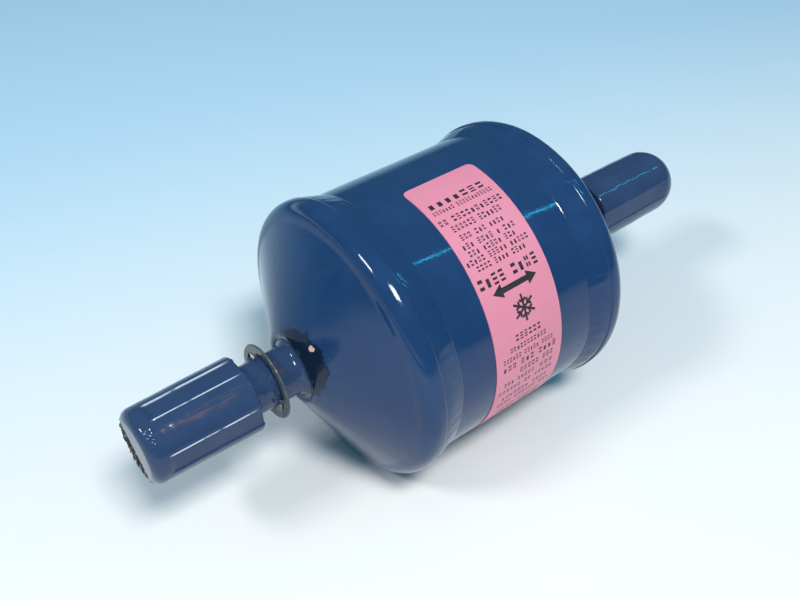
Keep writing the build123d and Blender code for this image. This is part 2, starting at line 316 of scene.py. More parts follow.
def paint_film():
    """Thick brushed-on gloss paint: slow hills, a fine orange peel, and a colour that is thinner
    and lighter in some places than in others."""
    group, given, out = effect(
        "paint_film",
        [("Point", "Vector", None), ("Colour", "Color", (0.02, 0.05, 0.15, 1)),
         ("Thin Colour", "Color", (0.04, 0.09, 0.2, 1)), ("Hills", "Float", 0.6),
         ("Peel", "Float", 0.4)],
        [("Colour", "Color"), ("Roughness", "Float"), ("Height", "Float")],
    )
    point = given["Point"]
    clouds = noise(group, point, 110.0, 3.0, 0.6)
    streaks = noise(group, point, 420.0, 4.0, 0.65, 0.6)
    thin = product(group, spread(group, clouds, 0.42, 0.72), 0.55)
    thin = sums(group, "ADD", thin, spread(group, streaks, 0.55, 0.8, 0.0, 0.3))
    hills = product(group, noise(group, point, 150.0, 2.0), given["Hills"])
    peel = product(group, noise(group, point, 900.0, 2.0, 0.4), given["Peel"])
    give(
        group, out,
        Colour=mixed(group, thin, given["Colour"], given["Thin Colour"]),
        Roughness=spread(group, streaks, 0.3, 0.75, 0.05, 0.12),
        Height=sums(group, "ADD", hills, product(group, peel, 0.22)),
    )
    return group


def fine_specks():
    """Small round specks: dust and pinhole bubbles caught in the paint. Amount is the share of
    the cells that hold one."""
    group, given, out = effect(
        "fine_specks",
        [("Point", "Vector", None), ("Scale", "Float", 500.0), ("Amount", "Float", 0.1),
         ("Size", "Float", 0.16)],
        [("Mask", "Float")],
    )
    cells = put(group, "ShaderNodeTexVoronoi", {"Vector": given["Point"], "Scale": given["Scale"]})
    chance = put(group, "ShaderNodeSeparateColor", {0: cells.outputs["Color"]}).outputs[0]
    chosen = sums(group, "LESS_THAN", chance, given["Amount"])
    inside = spread(group, cells.outputs["Distance"], given["Size"], 0.0)
    give(group, out, Mask=product(group, chosen, inside))
    return group


def ragged_patch():
    """A ragged-edged patch round one point, where a coat has come away or never took."""
    group, given, out = effect(
        "ragged_patch",
        [("Point", "Vector", None), ("Centre", "Vector", (0, 0, 0)), ("Radius", "Float", 0.001),
         ("Raggedness", "Float", 0.5), ("Scale", "Float", 900.0)],
        [("Mask", "Float")],
    )
    away = put(group, "ShaderNodeVectorMath", {0: given["Point"], 1: given["Centre"]}, operation="DISTANCE")
    share = sums(group, "DIVIDE", away.outputs["Value"], given["Radius"])
    rough = sums(group, "SUBTRACT", noise(group, given["Point"], given["Scale"], 4.0, 0.6), 0.5)
    rough = product(group, rough, given["Raggedness"])
    give(group, out, Mask=spread(group, sums(group, "ADD", share, rough), 1.06, 0.94))
    return group


def metal_grain():
    """Rolled or turned metal: lines stretched along one axis, cloudy tarnish and its height."""
    group, given, out = effect(
        "metal_grain",
        [("Point", "Vector", None), ("Stretch", "Vector", (1, 1, 1)), ("Scale", "Float", 900.0),
         ("Colour", "Color", (0.5, 0.5, 0.5, 1)), ("Tarnish", "Color", (0.3, 0.3, 0.3, 1)),
         ("Tarnished", "Float", 0.5)],
        [("Colour", "Color"), ("Roughness", "Float"), ("Height", "Float")],
    )
    lines = noise(group, scaled(group, given["Point"], given["Stretch"]), given["Scale"], 4.0, 0.6)
    clouds = noise(group, given["Point"], 160.0, 4.0, 0.6)
    worn = product(group, spread(group, clouds, 0.35, 0.7), given["Tarnished"])
    colour = mixed(group, worn, given["Colour"], given["Tarnish"])
    shade = mixed(group, spread(group, lines, 0.3, 0.7, 0.0, 0.25), colour, (0.0, 0.0, 0.0, 1))
    give(group, out, Colour=shade, Roughness=spread(group, clouds, 0.2, 0.8, 0.28, 0.5), Height=lines)
    return group


FILM, SPECKS, PATCH, GRAIN = paint_film(), fine_specks(), ragged_patch(), metal_grain()


def shaded(name):
    """A new material with its node tree and its Principled shader."""
    finish = bpy.data.materials.new(name)
    finish.use_nodes = True
    return finish, finish.node_tree, finish.node_tree.nodes["Principled BSDF"]


def bump(tree, height, distance, strength):
    """A normal from a height, where a height of 1 stands the distance in metres."""
    feeds = {"Height": height, "Distance": distance, "Strength": strength}
    return put(tree, "ShaderNodeBump", feeds).outputs[0]


# ================================================================ finishes
NAVY, NAVY_THIN = (0.011, 0.041, 0.122, 1), (0.016, 0.056, 0.150, 1)
GREYED = {"colour": (0.026, 0.052, 0.122, 1), "thin": (0.035, 0.067, 0.150, 1)}
DUST = (0.32, 0.42, 0.55, 1)
COPPER, OLD_COPPER, BARE_STEEL = (0.62, 0.30, 0.20, 1), (0.30, 0.12, 0.07, 1), (0.5, 0.5, 0.49, 1)
BLACK_RUBBER, DUSTY_RUBBER = (0.012, 0.013, 0.015, 1), (0.05, 0.05, 0.05, 1)
# Pale painted highlight lines for the worn cap's pad edges, and a brown painted reflection along one pad.
PAINTED_EDGE_HIGHLIGHT, PAINTED_BROWN_REFLECTION = (0.62, 0.66, 0.74, 1), (0.105, 0.085, 0.12, 1)
LABEL_PINK, LABEL_DEEP, LABEL_SCUFF = (0.76, 0.26, 0.355, 1), (0.70, 0.23, 0.32, 1), (0.75, 0.22, 0.42, 1)
INK, WORN_INK = (0.022, 0.016, 0.02, 1), (0.10, 0.05, 0.08, 1)

# Places in metres, as the shaders read them. A pair is where an eased mask is 0 and where it is 1.
COVERED, BORED = (0.0545, 0.0549), (0.0052, 0.0050)    # a fitting's covered end, and its bore
SEAL_INSIDE = (0.00665, 0.00655)                       # radius of a sealing cap's unpainted inside
DOME_MIDDLE = 0.0744                                   # x of the middle of the domed end
WORN_INSIDE, WORN_END = (-0.0758, -0.0754), (-0.0754, -0.0759)    # x inside and at the worn end
BREAK_EDGE, BREAK_RAGGED = (0.0010, 0.0013), 0.010
# The x ranges on the worn cap of the painted brown reflection and of the painted highlight lines.
REFLECTION_REACH, HIGHLIGHT_LINE_REACH = (((-0.0735, -0.0712), (-0.0530, -0.0560)),
                             ((-0.0733, -0.0722), (-0.0528, -0.0560)))

# Angles round the worn cap, in radians: the middle of the painted brown reflection, three edges of its pads
# that carry painted highlight lines, and widths.
FLAT_ONE, FLAT_TWO = SEAL["near"]["flats"][:2]
REFLECTION_AT, REFLECTION_WIDTH = np.radians(37.0), (0.20, 0.05)
HIGHLIGHT_LINES_AT = np.radians([FLAT_ONE - 15.9, FLAT_ONE + 16.1, FLAT_TWO - 16.3])
HIGHLIGHT_LINE_WIDTH = (0.026, 0.012)

# Patches: centre, radius, raggedness, scale, colour and added roughness.
CONE_CHIP = ((-0.03888, -0.00644, 0.00975), 0.00075, 1.3, 1100.0, (0.66, 0.42, 0.42, 1), 0.2)
# A painted dark reflection of the stub and its cap: a ragged dark patch on the near cone round the braze.
PAINTED_STUB_REFLECTION = ((-0.0392, -0.0038, 0.0046), 0.0074, 0.7, 420.0, (0.006, 0.014, 0.036, 1), 0.03)
HEAT_TINT = [((-0.0452, -0.0018, 0.0054), 0.0006, 1.2, 2900.0, (0.050, 0.056, 0.060, 1), 0.05),
             ((-0.0446, -0.0036, 0.0044), 0.0006, 1.2, 2600.0, (0.062, 0.052, 0.062, 1), 0.05)]


def painted(name, patches=(), hills=0.6, peel=0.4, bare=None, painted_light=None, colour=NAVY, thin=NAVY_THIN):
    """Gloss paint, navy unless it is given other colours, with dust in it. patches are where it is
    chipped or tinted, and where a dark reflection is painted on. bare is a function of the tree and
    the object point that gives a mask, a colour and whether it is metal, where the piece was never
    painted. The function that follows bare paints highlights and reflections into the paint's colour."""
    finish, tree, shader = shaded(name)
    point = object_point(tree)
    feeds = {"Point": point, "Colour": colour, "Thin Colour": thin, "Hills": hills, "Peel": peel}
    film = use(tree, FILM, feeds)
    dust = use(tree, SPECKS, {"Point": point, "Scale": 520.0, "Amount": 0.035, "Size": 0.11})["Mask"]
    dust = product(tree, dust, 0.35)
    hue = mixed(tree, dust, film["Colour"], DUST)
    hue = painted_light(tree, point, hue) if painted_light else hue
    rough, height = film["Roughness"], sums(tree, "ADD", film["Height"], dust)
    for centre, radius, ragged, scale, shown, shown_rough in patches:
        feeds = {"Point": point, "Centre": centre, "Radius": radius, "Raggedness": ragged, "Scale": scale}
        mask = use(tree, PATCH, feeds)["Mask"]
        hue = mixed(tree, mask, hue, shown)
        rough = sums(tree, "ADD", rough, product(tree, mask, shown_rough))
        height = sums(tree, "SUBTRACT", height, product(tree, mask, 0.8))
    if bare:
        mask, shown, metal = bare(tree, point)
        hue = mixed(tree, mask, hue, shown)
        rough = sums(tree, "ADD", rough, product(tree, mask, 0.15))
        if metal:
            tree.links.new(mask, shader.inputs["Metallic"])
    normal = bump(tree, height, 0.00012, 0.55)
    wire(tree, shader, {"Base Color": hue, "Roughness": rough, "Normal": normal, "IOR": 1.4})
    return finish


def radius_of(tree, point):
    """The x of a point, and how far it is from the axis."""
    parts = coordinates(tree, point)
    flat = put(tree, "ShaderNodeCombineXYZ", {1: parts[1], 2: parts[2]}).outputs[0]
    return parts[0], put(tree, "ShaderNodeVectorMath", {0: flat}, operation="LENGTH").outputs["Value"]


def under_the_seal(tree, point):
    """The part of a fitting that a sealing cap covered, and its bore: bare copper."""
    x, radius = radius_of(tree, point)
    rim = noise(tree, point, 500.0, 3.0)
    reach = sums(tree, "ADD", sums(tree, "ABSOLUTE", x), product(tree, rim, 0.0008))
    covered = spread(tree, reach, *COVERED)
    bored = spread(tree, radius, *BORED)
    grain = use(tree, GRAIN, {"Point": point, "Stretch": (6, 1, 1), "Colour": COPPER,
                              "Tarnish": OLD_COPPER, "Tarnished": 0.6})
    return sums(tree, "MAXIMUM", covered, bored), grain["Colour"], True


def inside_the_seal(tree, point):
    """The inside of a sealing cap, which no paint reached: black rubber. Past the middle of the
    domed end, what counts is the distance from that middle."""
    x, radius = radius_of(tree, point)
    past = sums(tree, "MAXIMUM", sums(tree, "SUBTRACT", x, DOME_MIDDLE), 0.0)
    squares = sums(tree, "ADD", product(tree, past, past), product(tree, radius, radius))
    deep = spread(tree, sums(tree, "SQRT", squares), *SEAL_INSIDE)
    dusty = mixed(tree, noise(tree, point, 700.0, 4.0), BLACK_RUBBER, DUSTY_RUBBER)
    return deep, dusty, False


def worn_rubber(tree, point):
    """The inside of the worn cap and the ragged break along its end: black rubber."""
    deep, dusty, _ = inside_the_seal(tree, point)
    x = coordinates(tree, point)[0]
    deep = product(tree, deep, spread(tree, x, *WORN_INSIDE))
    ragged = sums(tree, "SUBTRACT", noise(tree, point, 420.0, 5.0, 0.7), 0.5)
    along = reach_along(tree, point, (0, *BREAK_WAY))
    reach = sums(tree, "ADD", along, product(tree, ragged, BREAK_RAGGED))
    broken = product(tree, spread(tree, reach, *BREAK_EDGE), spread(tree, x, *WORN_END))
    return sums(tree, "MAXIMUM", deep, broken), dusty, False


def painted_highlights_and_reflection(tree, point, hue):
    """A brown painted reflection along one pad of a cap, broken up lengthwise, and pale painted
    highlight lines along the pads' edges."""
    x, y, z = coordinates(tree, point)
    facing = sums(tree, "ARCTAN2", product(tree, y, -1.0), z)
    highlit = spread(tree, noise(tree, point, 260.0, 2.0), 0.30, 0.46)
    highlit = product(tree, highlit, *(spread(tree, x, *edge) for edge in HIGHLIGHT_LINE_REACH))
    lines = 0.0
    for middle in HIGHLIGHT_LINES_AT:
        away = sums(tree, "ABSOLUTE", sums(tree, "SUBTRACT", facing, middle))
        lines = sums(tree, "MAXIMUM", lines, spread(tree, away, *HIGHLIGHT_LINE_WIDTH))
    hue = mixed(tree, product(tree, lines, highlit, 0.9), hue, PAINTED_EDGE_HIGHLIGHT)
    drawn = scaled(tree, point, (0.16, 1, 1))
    streak = spread(tree, noise(tree, drawn, 1300.0, 3.0, 0.6), 0.40, 0.62)
    band = spread(tree, sums(tree, "ABSOLUTE", sums(tree, "SUBTRACT", facing, REFLECTION_AT)), *REFLECTION_WIDTH)
    amount = product(tree, streak, band, *(spread(tree, x, *edge) for edge in REFLECTION_REACH), 0.75)
    return mixed(tree, amount, hue, PAINTED_BROWN_REFLECTION)


def inner_metal(name, colour, tarnish, tarnished, stretch, scale=900.0):
    """A plain steel part of the inside, with its rolled or turned grain."""
    finish, tree, shader = shaded(name)
    point = object_point(tree)
    feeds = {"Point": point, "Stretch": stretch, "Scale": scale, "Colour": colour}
    grain = use(tree, GRAIN, feeds | {"Tarnish": tarnish, "Tarnished": tarnished})
    wire(tree, shader, {"Base Color": grain["Colour"], "Roughness": grain["Roughness"],
                        "Metallic": 1.0, "Normal": bump(tree, grain["Height"], 0.00002, 0.5)})
    return finish


def grainy(name, light, dark, scale, depth, roughness):
    """A matt material of packed beads or matted fibres: cells of two shades, and their relief."""
    finish, tree, shader = shaded(name)
    point = object_point(tree)
    cells = put(tree, "ShaderNodeTexVoronoi", {"Vector": point, "Scale": scale})
    clouds = noise(tree, point, scale / 6, 3.0, 0.6)
    shade = product(tree, cells.outputs["Distance"], spread(tree, clouds, 0.3, 0.7, 0.6, 1.2))
    colour = mixed(tree, spread(tree, shade, 0.1, 0.7), light, dark)
    height = sums(tree, "SUBTRACT", 1.0, cells.outputs["Distance"])
    normal = bump(tree, height, depth, 0.7)
    wire(tree, shader, {"Base Color": colour, "Roughness": roughness, "Normal": normal})
    return finish


def label_paper():
    """Pink printed film: faint cloudiness, paper-fine tooth and a soft satin face."""
    finish, tree, shader = shaded("label_sheet")
    point = object_point(tree)
    clouds = noise(tree, point, 90.0, 3.0, 0.6)
    tooth = noise(tree, point, 2600.0, 2.0)
    colour = mixed(tree, spread(tree, clouds, 0.3, 0.75, 0.0, 0.5), LABEL_PINK, LABEL_DEEP)
    scuff = use(tree, SPECKS, {"Point": point, "Scale": 700.0, "Amount": 0.03, "Size": 0.13})["Mask"]
    colour = mixed(tree, product(tree, scuff, 0.35), colour, LABEL_SCUFF)
    wire(tree, shader, {"Base Color": colour, "Roughness": spread(tree, clouds, 0.3, 0.7, 0.38, 0.5),
                        "Normal": bump(tree, tooth, 0.00001, 0.6), "IOR": 1.45})
    return finish


def label_ink():
    """Greyish black print that the film's tooth breaks up a little."""
    finish, tree, shader = shaded("label_ink")
    point = object_point(tree)
    tooth = noise(tree, point, 2600.0, 3.0, 0.6)
    colour = mixed(tree, spread(tree, tooth, 0.5, 0.8, 0.0, 0.5), INK, WORN_INK)
    wire(tree, shader, {"Base Color": colour, "Roughness": spread(tree, tooth, 0.3, 0.7, 0.4, 0.6),
                        "Normal": bump(tree, tooth, 0.00001, 0.5)})
    return finish


shell_paint = painted("navy_paint")
near_paint = painted("navy_paint_chipped", patches=[PAINTED_STUB_REFLECTION, CONE_CHIP])
fitting_paint = painted("painted_fitting", patches=HEAT_TINT, hills=1.4, peel=1.7, bare=under_the_seal,
                        **GREYED)
braze_paint = painted("painted_braze", hills=1.6, peel=1.2, **GREYED)
rubber_paint = painted("painted_rubber", hills=0.9, peel=0.5, bare=inside_the_seal, **GREYED)
# The worn cap's paint also carries painted highlight lines and a painted brown reflection.
worn_paint = painted("painted_rubber_worn", hills=1.1, peel=0.8, bare=worn_rubber, painted_light=painted_highlights_and_reflection,
                     **GREYED)
ring_paint = painted("painted_spring_steel", hills=0.8, peel=0.8, colour=(0.055, 0.068, 0.085, 1),
                     thin=(0.17, 0.17, 0.165, 1))
sheet_pink, print_ink = label_paper(), label_ink()

# ================================================================ the shell
AROUND = np.linspace(0, 2 * np.pi, 320, endpoint=False)


def shell_middle():
    """The tube: a wall turned round the axis, whose outside has slow hills a few hundredths high."""
    x = np.linspace(-SHELL_HALF, SHELL_HALF, 101)
    outside = coated(at(x[:, None], SHELL_R, AROUND), 0.03, SHELL_HILLS)
    inside = at(x[::-25, None], SHELL_R - SHELL_WALL, AROUND)
    return [loop_skin(np.concatenate([outside, inside]))]


def end_cap(side):
    """A drawn cap: skirt, shoulder arc, a shallow valley, cone, hub arc and neck on the outside,
    and a plainer outline inside the wall, turned round the axis."""
    half_turn = np.tan(CONE_SLOPE / 2)
    corners = [(RIM_OUT, CREST_R - RIM_DROP), (RIM_OUT, CREST_R), (SHOULDER_CORNER, CREST_R), VALLEY,
               (HUB_CORNER, NECK_R), (NECK_END, NECK_R)]
    outer = outline(corners, [RIM_BEND, SHOULDER_BEND, VALLEY_BEND, HUB_BEND], FINE)
    slope_x = SHOULDER_CORNER - CAP_WALL * half_turn
    slope_r = CREST_R - CAP_WALL
    hub_r = NECK_R + CAP_WALL
    corners = [(NECK_END, hub_r), (slope_x + (slope_r - hub_r) / np.tan(CONE_SLOPE), hub_r),
               (slope_x, slope_r), (RIM_OUT, slope_r)]
    inner = outline(corners, [HUB_BEND + CAP_WALL, SHOULDER_BEND - CAP_WALL], COARSE)
    outside = coated(at(ENDS[side] * outer[:, :1], outer[:, 1:], AROUND), 0.04, CAP_HILLS)
    inside = at(ENDS[side] * inner[:, :1], inner[:, 1:], AROUND)
    return [loop_skin(np.concatenate([outside, inside]))]


def weld_bead(side):
    """The bead under paint: an eased ramp from the tube up to the cap's rim, with a slow wander
    of its toe and faint ripples round the shell."""
    t = np.linspace(0, 1, 40)[:, None]
    wander = 0.25 * np.sin(3 * AROUND + 1) + 0.15 * np.sin(7 * AROUND + 2)
    toe = WELD_TOE - 0.5 + wander
    x = toe + (RIM_OUT + 0.1 - toe) * t
    ramp = WELD_HEIGHT * (0.45 * t + 0.55 * np.sin(np.pi / 2 * t) ** 1.5)
    ripple = 0.035 * np.sin(64 * AROUND + 3 * np.sin(5 * AROUND)) * np.sin(np.pi * t)
    top = at(ENDS[side] * x, SHELL_R - 0.12 * (1 - ease(t, 0, 0.12)) + ramp + ripple, AROUND)
    top = coated(top, 0.02, WELD_HILLS)
    under = at(ENDS[side] * x[[-1, 0]], SHELL_R - 0.25, AROUND)
    return [loop_skin(np.concatenate([top, under]))]


# ================================================================ fittings
FINE_AROUND = np.linspace(0, 2 * np.pi, 160, endpoint=False)


def fitting(side):
    """A stub with a socket in its end: a stepped outline turned round the axis, its painted
    outside with small runs and lumps."""
    back, face, stop = NECK_END - FLANGE_BACK, NECK_END - BRAZE_GAP, TIP_OUT - SOCKET_DEPTH
    corners = [(back, THROUGH_R), (back, FLANGE_R), (face, FLANGE_R), (face, STUB_R), (TIP_OUT, STUB_R),
               (TIP_OUT, SOCKET_R), (stop, SOCKET_R), (stop, THROUGH_R), (back, THROUGH_R)]
    path = outline(corners, [0.15, 0.15, 0.1, 0.3, 0.15, 0.15, 0.15], 0.34)[:-1]
    points = at(ENDS[side] * path[:, :1], path[:, 1:], FINE_AROUND)
    outside = (path[:, 1] > STUB_R - 0.05) & (path[:, 0] < SEAL[side]["mouth"])
    lumps = -0.03 - sum(unevenness(points, *wave) for wave in FITTING_HILLS)
    return [loop_skin(push(points, lumps * outside[:, None]))]


def braze(side):
    """The fillet of braze at a fitting's foot: hollow from the hub's turn down to the stub, lumpy
    under its paint."""
    t = np.linspace(0, 1, 14)[:, None]
    x = HUB_OUT - 0.35 + 1.75 * t
    lumps = 0.22 * np.sin(4 * FINE_AROUND + 1) + 0.16 * np.sin(9 * FINE_AROUND) * np.sin(np.pi * t)
    r = STUB_R + 1.15 * (1 - t) ** 2.2 + lumps * (1 - t) * 0.55
    top = at(ENDS[side] * x, r, FINE_AROUND)
    root = at(ENDS[side] * np.array([[HUB_OUT + 1.4], [HUB_OUT - 1.6]]), STUB_R - 0.1, FINE_AROUND)
    return [loop_skin(np.concatenate([top, root]))]


TOOTH_AT = 26            # degrees round the ring


def keeper_ring():
    """A thin pressed ring: a flat band, and six teeth that lean from it down to the stub. Each
    tooth is a curved slab between two radii."""
    band_r, tip_r, lean = RING_R - 1.5, STUB_R + 0.05, 0.7
    front, rear, foot = RING_OUT + 0.02, RING_OUT - RING_SHEET, band_r - 0.1
    corners = [(front, foot), (front, RING_R), (rear, RING_R), (rear, foot), (front, foot)]
    band = outline(corners, [0.22, 0.22, 0.1], 0.12)[:-1]
    rim = at(-band[:, :1], band[:, 1:], FINE_AROUND)
    middles = np.radians(TOOTH_AT + 60 * np.arange(6))[:, None, None]
    along = np.linspace(0, 1, 8)[None, :, None]
    across = np.linspace(-1, 1, 12)[None, None, :]
    radius = band_r + 0.15 + (tip_r - band_r - 0.15) * along
    half = np.arcsin(np.clip((0.5 * band_r - 1.35 * ease(along, 0, 0.35)) / radius, 0, 1))
    x = RING_OUT - lean * along**1.4
    teeth = slab_skin(at(-x, radius, middles + half * across),
                      at(-x + RING_SHEET, radius, middles + half * across))
    return [loop_skin(rim), teeth]


# ================================================================ rubber caps
FLAT_HALF, FLAT_DEPTH = 14.9, 0.65       # degrees from a flat's middle to its edge, and millimetres
RIB_COUNT, RIB_HALF, RIB_HEIGHT = 8, 4.6, 0.7    # round the bore: half-width in degrees, and height
END_WALL = 2.4
# Bubbles in the paint near the worn end: x, degrees round the cap, and radius.
BUBBLES = [(-75.2, 24, 0.26), (-75.0, 29, 0.34), (-74.6, 33, 0.22), (-75.1, 36, 0.3), (-74.4, 39, 0.3),
           (-74.9, 43, 0.2), (-74.0, 30, 0.18), (-74.1, 24, 0.2), (-74.5, 46, 0.22)]


def flats_sunk(form, angle):
    """How deep the four flats lie below the pads at each angle: the pad's radius less the flat's
    distance from the axis over the cosine of the angle from its middle. It drops over a degree
    and a half at each edge, outside which the pad stands up in a low bead."""
    sunk = 0.0
    for middle in form["flats"]:
        away = turn_from(angle, middle)
        chord = SEAL_R - (SEAL_R - FLAT_DEPTH) / np.cos(np.radians(np.clip(away, -20, 20)))
        sunk = sunk + hump(away, 0, FLAT_HALF - 0.8, 1.6) * chord
        sunk = sunk - form["bead"] * np.exp(-(((np.abs(away) - FLAT_HALF - 1.2) / 0.9) ** 2))
    return sunk


def worn_away(outside, x, r, angle, end):
    """The worn cap's skin: each paint bubble is a bell curve round its own place, and towards
    BREAK_WAY the end is eaten back by a random height field, lengthwise and inwards."""
    bubbles = 0.0
    for bubble_x, turned, size in BUBBLES:
        away = np.hypot(x + bubble_x, SEAL_R * np.radians(turn_from(angle, turned)))
        bubbles = bubbles + 0.7 * size * np.exp(-((away / size) ** 2))
    outside = push(outside, bubbles)
    chipped = ease(outside[..., 1:] @ np.array(BREAK_WAY), BREAK_FROM - 0.5, BREAK_FROM + 0.5)
    chipped = chipped * ease(x, end - 1.3, end - 0.5)
    pits = 0.35 + sum(unevenness(outside, *wave) for wave in BREAK_PITS)
    outside[..., 0] += 1.1 * chipped * np.clip(pits, -0.1, 1.2)
    return push(outside, -1.3 * chipped * np.clip(pits, 0, 1.3) * ease(r, 4.6, 6.2))


def seal_cap(side):
    """A moulded cap: four flats sunk between wide round pads, and eight ribs in its bore that are
    eased bumps round the angle. One cap's end is domed. The other's is worn flat, pitted, and
    chipped on its far side. It is one skin from the floor of the bore, out over the mouth and
    along to the closed end."""
    form = SEAL[side]
    mouth, end = form["mouth"], form["mouth"] + form["length"]
    edges = (np.array([-1, 1])[:, None] * (FLAT_HALF + np.linspace(-1.6, 3.4, 24))).ravel()
    dense = np.arange(18, 48, 0.7) if form["worn"] else []
    angle = np.r_[np.arange(0, 360, 1.8), dense, np.add.outer(form["flats"], edges).ravel()]
    angle = np.radians(np.unique(np.round(angle % 360, 3)))
    corners = [(mouth, SEAL_BORE + 0.6), (mouth, SEAL_R), (end, SEAL_R - SEAL_TAPER), (end, 0.4)]
    outer = outline(corners, [0.4, form["end"]], 0.27)
    x, r = outer[:, :1], outer[:, 1:]
    stop = end - form["stop"]
    sunk = flats_sunk(form, angle) * (1 - ease(x, stop - form["fade"], stop))
    outside = at(ENDS[side] * x, r - sunk * (r > SEAL_R * 0.8), angle)
    outside = coated(outside, 0.03, *SEAL_HILLS)
    if form["worn"]:
        outside = worn_away(outside, x, r, angle, end)
    floor = end - END_WALL
    corners = [(floor, 0.4), (floor, SEAL_BORE), (mouth, SEAL_BORE), (mouth, SEAL_BORE + 0.6)]
    bore = outline(corners, [form["bore_end"], 0.3], 0.5)[:-1]
    x, r = bore[:, :1], bore[:, 1:]
    turns = 360 / RIB_COUNT * np.arange(RIB_COUNT) + 22
    rib = RIB_HEIGHT * sum(hump(turn_from(angle, turned), 0, RIB_HALF, 1.6) for turned in turns)
    reach = rib * ease(x, TIP_OUT + 0.6, TIP_OUT + 0.2) * ease(x, mouth, mouth + 0.8)
    inside = at(ENDS[side] * x, r - reach * (r > SEAL_BORE * 0.95), angle)
    poles = at(ENDS[side] * floor, 0, 0), at(ENDS[side] * (end - 0.05), 0, 0)
    return [capped_skin(np.concatenate([inside, outside]), *poles)]


# ================================================================ label and its print
def on_shell(x, along, radius):
    """Points laid on the shell: x, and a distance along the girth measured at the label's face."""
    return at(x, radius, along / LABEL_R)


def label_strip():
    """The label: a band of the cylinder with arcs for its corners, each crosswise row as wide as
    the arc leaves it, and its face lifted by the film's thickness."""
    first, last = np.radians(LABEL_FROM) * LABEL_R, np.radians(LABEL_TO) * LABEL_R
    turn = np.linspace(0, np.pi / 2, 10)
    arc = LABEL_CORNER * (1 - np.cos(turn))
    straight = np.linspace(first, last, 180)[4:-4]
    along = np.r_[first + arc, straight, last - arc[::-1]]
    inset = LABEL_CORNER * (1 - np.sin(turn))
    half = LABEL_HALF - np.r_[inset, np.zeros(len(straight)), inset[::-1]]
    x = np.linspace(-1, 1, 30)[None, :] * half[:, None]
    return [slab_skin(on_shell(x, along[:, None], LABEL_R), on_shell(x, along[:, None], SHELL_R - 0.08))]


INK_R, INK_FOOT = LABEL_R + 0.012, LABEL_R - 0.03
ARROW_AT, STAR_AT = np.radians([52.6, 62.4]) * LABEL_R
MARK_SHIFT = 0.2         # the arrow's middle lies this far to one side, the star's to the other
# Each line of dashes: degrees round the shell, first and last x, height, and the dashes of each word.
PRINT_LINES = [
    (11.6, -8.4, 7.3, 1.75, (7,), 0.26), (15.2, -8.4, 7.9, 1.05, (7, 12), 0.4),
    (20.0, -9.0, 8.5, 1.5, (2, 11), 0.36), (24.0, -7.2, 6.5, 1.5, (6, 6), 0.36),
    (28.3, -6.8, 5.3, 1.35, (3, 3, 4), 0.36), (32.0, -7.8, 6.9, 1.35, (3, 4, 1, 3), 0.36),
    (35.2, -7.3, 5.8, 1.3, (3, 5, 3), 0.34), (38.3, -9.1, 8.2, 1.3, (5, 5, 5), 0.34),
    (41.4, -7.3, 6.4, 1.3, (4, 4, 4), 0.34), (47.2, -9.0, 7.8, 2.5, (4, 4), 0.3),
    (72.4, -3.9, 3.7, 1.6, (6,), 0.3), (76.5, -5.7, 5.0, 1.2, (11,), 0.34),
    (80.3, -7.8, 6.9, 1.2, (6, 5, 4), 0.34), (84.0, -8.0, 7.9, 1.5, (3, 3, 4), 0.3),
    (88.2, -3.0, 7.2, 1.4, (5, 3), 0.32), (92.4, -7.4, 1.8, 1.2, (3, 5), 0.34),
    (92.4, 3.2, 7.4, 1.2, (3,), 0.34), (96.4, -8.6, 7.6, 1.2, (6, 2, 5), 0.34),
    (101.0, -7.2, 6.8, 1.2, (7, 4), 0.34), (105.2, -8.0, 8.2, 1.2, (4, 6, 3), 0.34),
    (112.0, -6.4, 6.6, 1.5, (4, 5), 0.34), (118.0, -7.8, 7.6, 1.1, (5, 6), 0.34),
    (122.2, -6.6, 6.0, 1.1, (4, 5), 0.34),
]
# Plain bars and squares for one cell: the middle, width and height of each, as shares of the cell.
MARKS = [
    [(0.0, -0.31, 0.80, 0.30), (0.0, 0.31, 0.80, 0.30)],
    [(0.0, -0.40, 0.80, 0.20), (0.0, 0.0, 0.80, 0.20), (0.0, 0.40, 0.80, 0.20)],
    [(across, down, 0.30, 0.36) for down in (-0.28, 0.28) for across in (-0.22, 0.22)],
    [(0.0, 0.10, 0.58, 0.74)],
]


def inked(x, along):
    """A thin slab of ink between the label's face and the print's own height."""
    return slab_skin(on_shell(x, along, INK_R), on_shell(x, along, INK_FOOT))


def dash_slabs(x, along, width, height):
    """Many small slabs of ink: a unit square of 3 by 2 points, scaled and moved to each place."""
    u, v = np.meshgrid(np.linspace(-0.5, 0.5, 3), np.linspace(-0.5, 0.5, 2), indexing="ij")
    across = x[:, None, None] + width[:, None, None] * v
    down = along[:, None, None] + height[:, None, None] * u
    return inked(across, down)


def print_dashes():
    """Lines of plain marks, one to a cell and spaced like words, that stand for small print."""
    places = []
    for degrees, first, last, height, words, gap in PRINT_LINES:
        cells = sum(words)
        step = (last - first) / (cells + 0.8 * (len(words) - 1))
        starts = np.repeat(np.r_[0, np.cumsum(words)[:-1] + 0.8 * np.arange(1, len(words))], words)
        within = np.concatenate([np.arange(count) for count in words])
        middles = first + (starts + within + 0.5) * step
        wide, along = step * (1 - gap * 0.7), np.radians(degrees) * LABEL_R
        for x, mark in zip(middles, seed.integers(len(MARKS), size=cells)):
            bars = np.array(MARKS[mark])
            places.append(np.stack([x + bars[:, 0] * wide, along + bars[:, 1] * height,
                                    bars[:, 2] * wide, bars[:, 3] * height], axis=-1))
    return dash_slabs(*np.concatenate(places).T)


def flow_arrow():
    """A double-headed arrow: at each x its half-width grows from the tip to the head's base, then
    holds the shaft's half-width."""
    tip, head, wide, shaft = 6.1, 2.6, 1.55, 0.62
    stations = np.r_[0, head, head + 1e-3, tip - 1e-3]
    x = np.r_[-tip + stations, (tip - stations)[::-1]]
    half = np.r_[0.04, wide, shaft, shaft, shaft, shaft, wide, 0.04]
    across = np.linspace(-1, 1, 7)[None, :] * half[:, None]
    return inked(x[:, None] - MARK_SHIFT, ARROW_AT + across)


